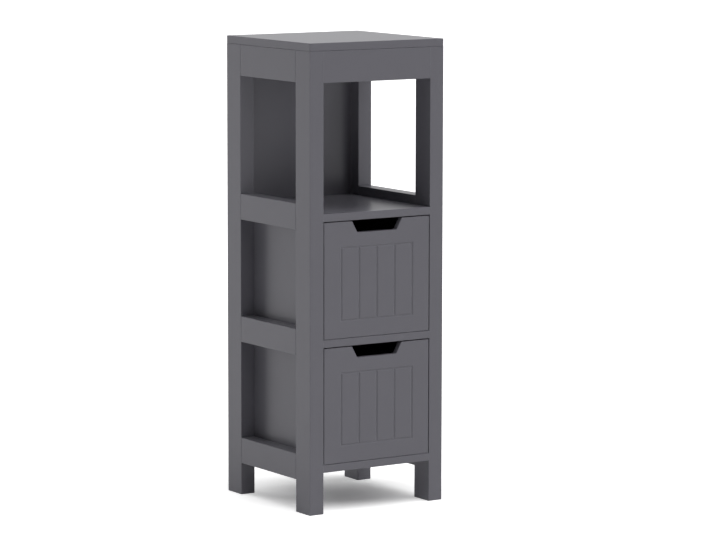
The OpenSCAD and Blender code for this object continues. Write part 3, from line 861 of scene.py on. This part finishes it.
def makeScrew(length, values):
    # the head lies at z = 0 and the tip above it
    head, rim, foot = values["headRadius"], values["headRim"], values["headHeight"]
    core, fillet = values["coreRadius"], values["filletHeight"]
    pointStart = length - values["point"]
    screw = turnedPiece("screw", [
        (0, head - rim / 2), (rim / 2, head), (rim, head), (foot - fillet, core + values["filletWidth"]),
        (foot + fillet, core), (pointStart, core), (length, values["tipRadius"])], values["sides"])
    cutCross(screw, 0, values["crossWidth"], values["crossLength"], values["crossDepth"], 1)
    start = foot + values["plainNeck"]
    end = length - values["point"] * values["bareTip"]
    thread = helixThread(start, end, core - values["threadSink"], values["crestRadius"], values["pitch"])
    taperThread(thread, start + values["pitch"], start, values["neckShare"])
    taperThread(thread, pointStart, length, values["tipShare"])
    return joinPieces([screw, thread], "screw")


for node in ("side_panel_screws", "back_panel_screws", "drawer_upper_screws", "drawer_lower_screws"):
    solids = solidsOf(node)
    low, high = boxOf(solids[0])
    screw = makeScrew(max(high - low) / mm, screwValues)
    places = []
    for points in solids:
        head, tip = endsOf(points)
        places.append(standAlong(head, tip - head))
    placeCopies(screw, places, node, bodyOf(node), zincPlate)
    bpy.data.objects.remove(screw)
print("Screws placed")


camBoltValues = {
    "sides": 28,
    "core": 2.2,            # mm, radii of the thread, the shank, the neck and the head
    "crest": 2.95,
    "shank": 3.45,
    "neck": 1.6,
    "head": 2.35,
    "headLength": 2.6,      # mm, lengths along the bolt
    "headPast": 1,          # from the nut's axis to the top of the head
    "nutRoom": 0.4,         # between shank and nut
    "pitch": 2.4,
    "threadSink": 0.2,      # how far the ridge runs inside the core
    "threadStart": 1.2,     # bare ends of the thread
    "threadEnd": 0.6,
    "leadIn": 1.5,          # cone at the end of the thread
    "leadTurn": 1,          # thread past its first turn that is drawn in
    "tipShare": 0.62,       # of the thread's full size, left at its end
    # each pair: mm along the bolt from the plane or end named, mm in from the radius (out where minus)
    "coreFillet": ((0.1, 0), (0.55, -0.1)),
    "shankStart": ((0.6, 0.3), (0.9, 0)),
    "shankTip": ((-1.2, 0), (-0.6, 0.5)),
    "neckFillet": ((0, -0.15), (0.2, 0)),
    "neckEnd": ((0, 0),),
    "headStart": ((0.1, 0.2), (0.35, 0)),
    "headDome": ((-0.7, 0), (-0.2, 0.4), (0, 0.75)),
    "crossWidth": 0.7,
    "crossLength": 2.9,
    "crossDepth": 1.3,
}


def makeCamBolt(threadLength, reach, nutRadius, values):
    # stands on its joint plane, with the thread below it and the head above
    core, shank, neck, head = values["core"], values["shank"], values["neck"], values["head"]
    headTop = reach + values["headPast"]
    headFoot = headTop - values["headLength"]
    shankEnd = reach - nutRadius - values["nutRoom"]
    rings = [(-threadLength, core / 2), (-threadLength + values["leadIn"], core)]
    parts = (("coreFillet", 0, core), ("shankStart", 0, shank), ("shankTip", shankEnd, shank),
             ("neckFillet", shankEnd, neck), ("neckEnd", headFoot, neck), ("headStart", headFoot, head),
             ("headDome", headTop, head))
    for part, level, radius in parts:
        rings += [(level + along, radius - inward) for along, inward in values[part]]
    bolt = turnedPiece("camBolt", rings, values["sides"])
    cutCross(bolt, headTop, values["crossWidth"], values["crossLength"], values["crossDepth"], -1)
    thread = helixThread(-threadLength + values["threadStart"], -values["threadEnd"],
                         core - values["threadSink"], values["crest"], values["pitch"])
    taperThread(thread, -threadLength + values["leadTurn"] + values["pitch"], -threadLength,
                values["tipShare"])
    return joinPieces([bolt, thread], "camBolt")


camNutValues = {
    "sides": 40,
    # each pair: mm from the face named, mm in from the nut's radius
    "slottedFace": ((0, 0.5), (0.15, 0.15), (0.5, 0), (1.6, 0), (1.7, 0.35)),
    "farFace": ((0.8, 0.35), (0, 1.1)),
    "mouth": 2.6,           # mm, radius of the hole that lets the bolt head in
    "mouthSides": 24,
    "mouthCentre": 0.9,     # share of the nut's radius, from its axis
    "cavity": 0.66,         # share of the nut's radius hollowed for the bolt head
    "cavityHeight": 5.3,    # mm
    "cavitySides": 28,
    "trackHeight": 3.8,     # mm, slot that the bolt neck runs in
    "trackTurn": 130,       # degrees
    "trackPast": 1,         # mm that its cutter stands out of the nut
    "crossWidth": 1.5,      # mm
    "crossLength": 1.15,    # share of the nut's radius
    "crossDepth": 2.0,      # mm
    "pointerSize": 0.16,    # share of the nut's radius
    "pointerPlace": 0.76,   # share of the nut's radius, from its axis
    "pointerDepth": 0.35,   # mm
}


def makeCamNut(radius, height, boltLevel, values):
    # the slotted face lies at z = 0 and the body runs up from it; the bolt comes in from +X
    rings = [(level, radius - inward) for level, inward in values["slottedFace"]]
    rings += [(height - level, radius - inward) for level, inward in values["farFace"]]
    nut = turnedPiece("camNut", rings, values["sides"])
    onAxis = (0, 0, boltLevel * mm)
    hollow = addRod("hollowCutter", values["cavitySides"], radius * values["cavity"] * mm,
                    values["cavityHeight"] * mm, onAxis)
    mouth = addRod("mouthCutter", values["mouthSides"], values["mouth"] * mm, radius * mm,
                   (radius * values["mouthCentre"] * mm, 0, boltLevel * mm), (0, 90, 0))
    track = addRod("trackCutter", values["sides"], (radius + values["trackPast"]) * mm,
                   values["trackHeight"] * mm, onAxis)
    end = math.radians(values["trackTurn"] + 90)
    for side in ((0, -1, 0), (math.cos(end), math.sin(end), 0)):
        bpy.ops.object.mode_set(mode="EDIT")
        bpy.ops.mesh.select_all(action="SELECT")
        bpy.ops.mesh.bisect(plane_co=(0, 0, 0), plane_no=side, clear_outer=True, use_fill=True)
        bpy.ops.object.mode_set(mode="OBJECT")
    for cutter in (hollow, mouth, track):
        turnFacesOut(cutter)
        cutAway(nut, cutter)
    cutCross(nut, 0, values["crossWidth"], radius * values["crossLength"], values["crossDepth"], 1)
    pointer = addRod("pointerCutter", 3, radius * values["pointerSize"] * mm,
                     2 * values["pointerDepth"] * mm, (radius * values["pointerPlace"] * mm, 0, 0),
                     (0, 0, -90))
    cutAway(nut, pointer)
    return nut


def fitCams(prefix, reach):
    # reach is the distance in mm from the joint plane to the axis of the nut
    bolts = [endsOf(points) for points in solidsOf(f"{prefix}_cam_bolts")]
    nuts = [boxOf(points) for points in solidsOf(f"{prefix}_cam_nuts")]
    low, high = nuts[0]
    nutHeight = min(high - low) / mm
    nutRadius = max(high - low) / 2 / mm
    length = (bolts[0][0] - bolts[0][1]).length / mm
    threadLength = length - reach - camBoltValues["headPast"]
    bolt = makeCamBolt(threadLength, reach, nutRadius, camBoltValues)
    boltPlaces = []
    for thread, head in bolts:
        along = (head - thread).normalized()
        boltPlaces.append(standAlong(thread + along * threadLength * mm, along))
    nutPlaces = []
    for low, high in nuts:
        middle = (low + high) / 2
        thread, head = min(bolts, key=lambda ends: (ends[1] - middle).length)
        toThread = (thread - head).normalized()
        axis = min(range(3), key=lambda i: (high - low)[i])
        outward = Vector((0, 0, 0))
        outward[axis] = math.copysign(1, (middle - head)[axis])
        face = middle + outward * nutHeight / 2 * mm
        boltLevel = (face - head).dot(outward) / mm
        nutPlaces.append(standAlong(face, -outward, toThread))
    nut = makeCamNut(nutRadius, nutHeight, boltLevel, camNutValues)
    body = bodyOf(prefix)
    placeCopies(bolt, boltPlaces, f"{prefix}_cam_bolts", body, zincPlate)
    placeCopies(nut, nutPlaces, f"{prefix}_cam_nuts", body, dieCastZinc)
    for master in (bolt, nut):
        bpy.data.objects.remove(master)


camReach = {"frame": 34, "drawer_upper": 24, "drawer_lower": 24}    # mm
for prefix, reach in camReach.items():
    fitCams(prefix, reach)
print("Cam fittings placed")
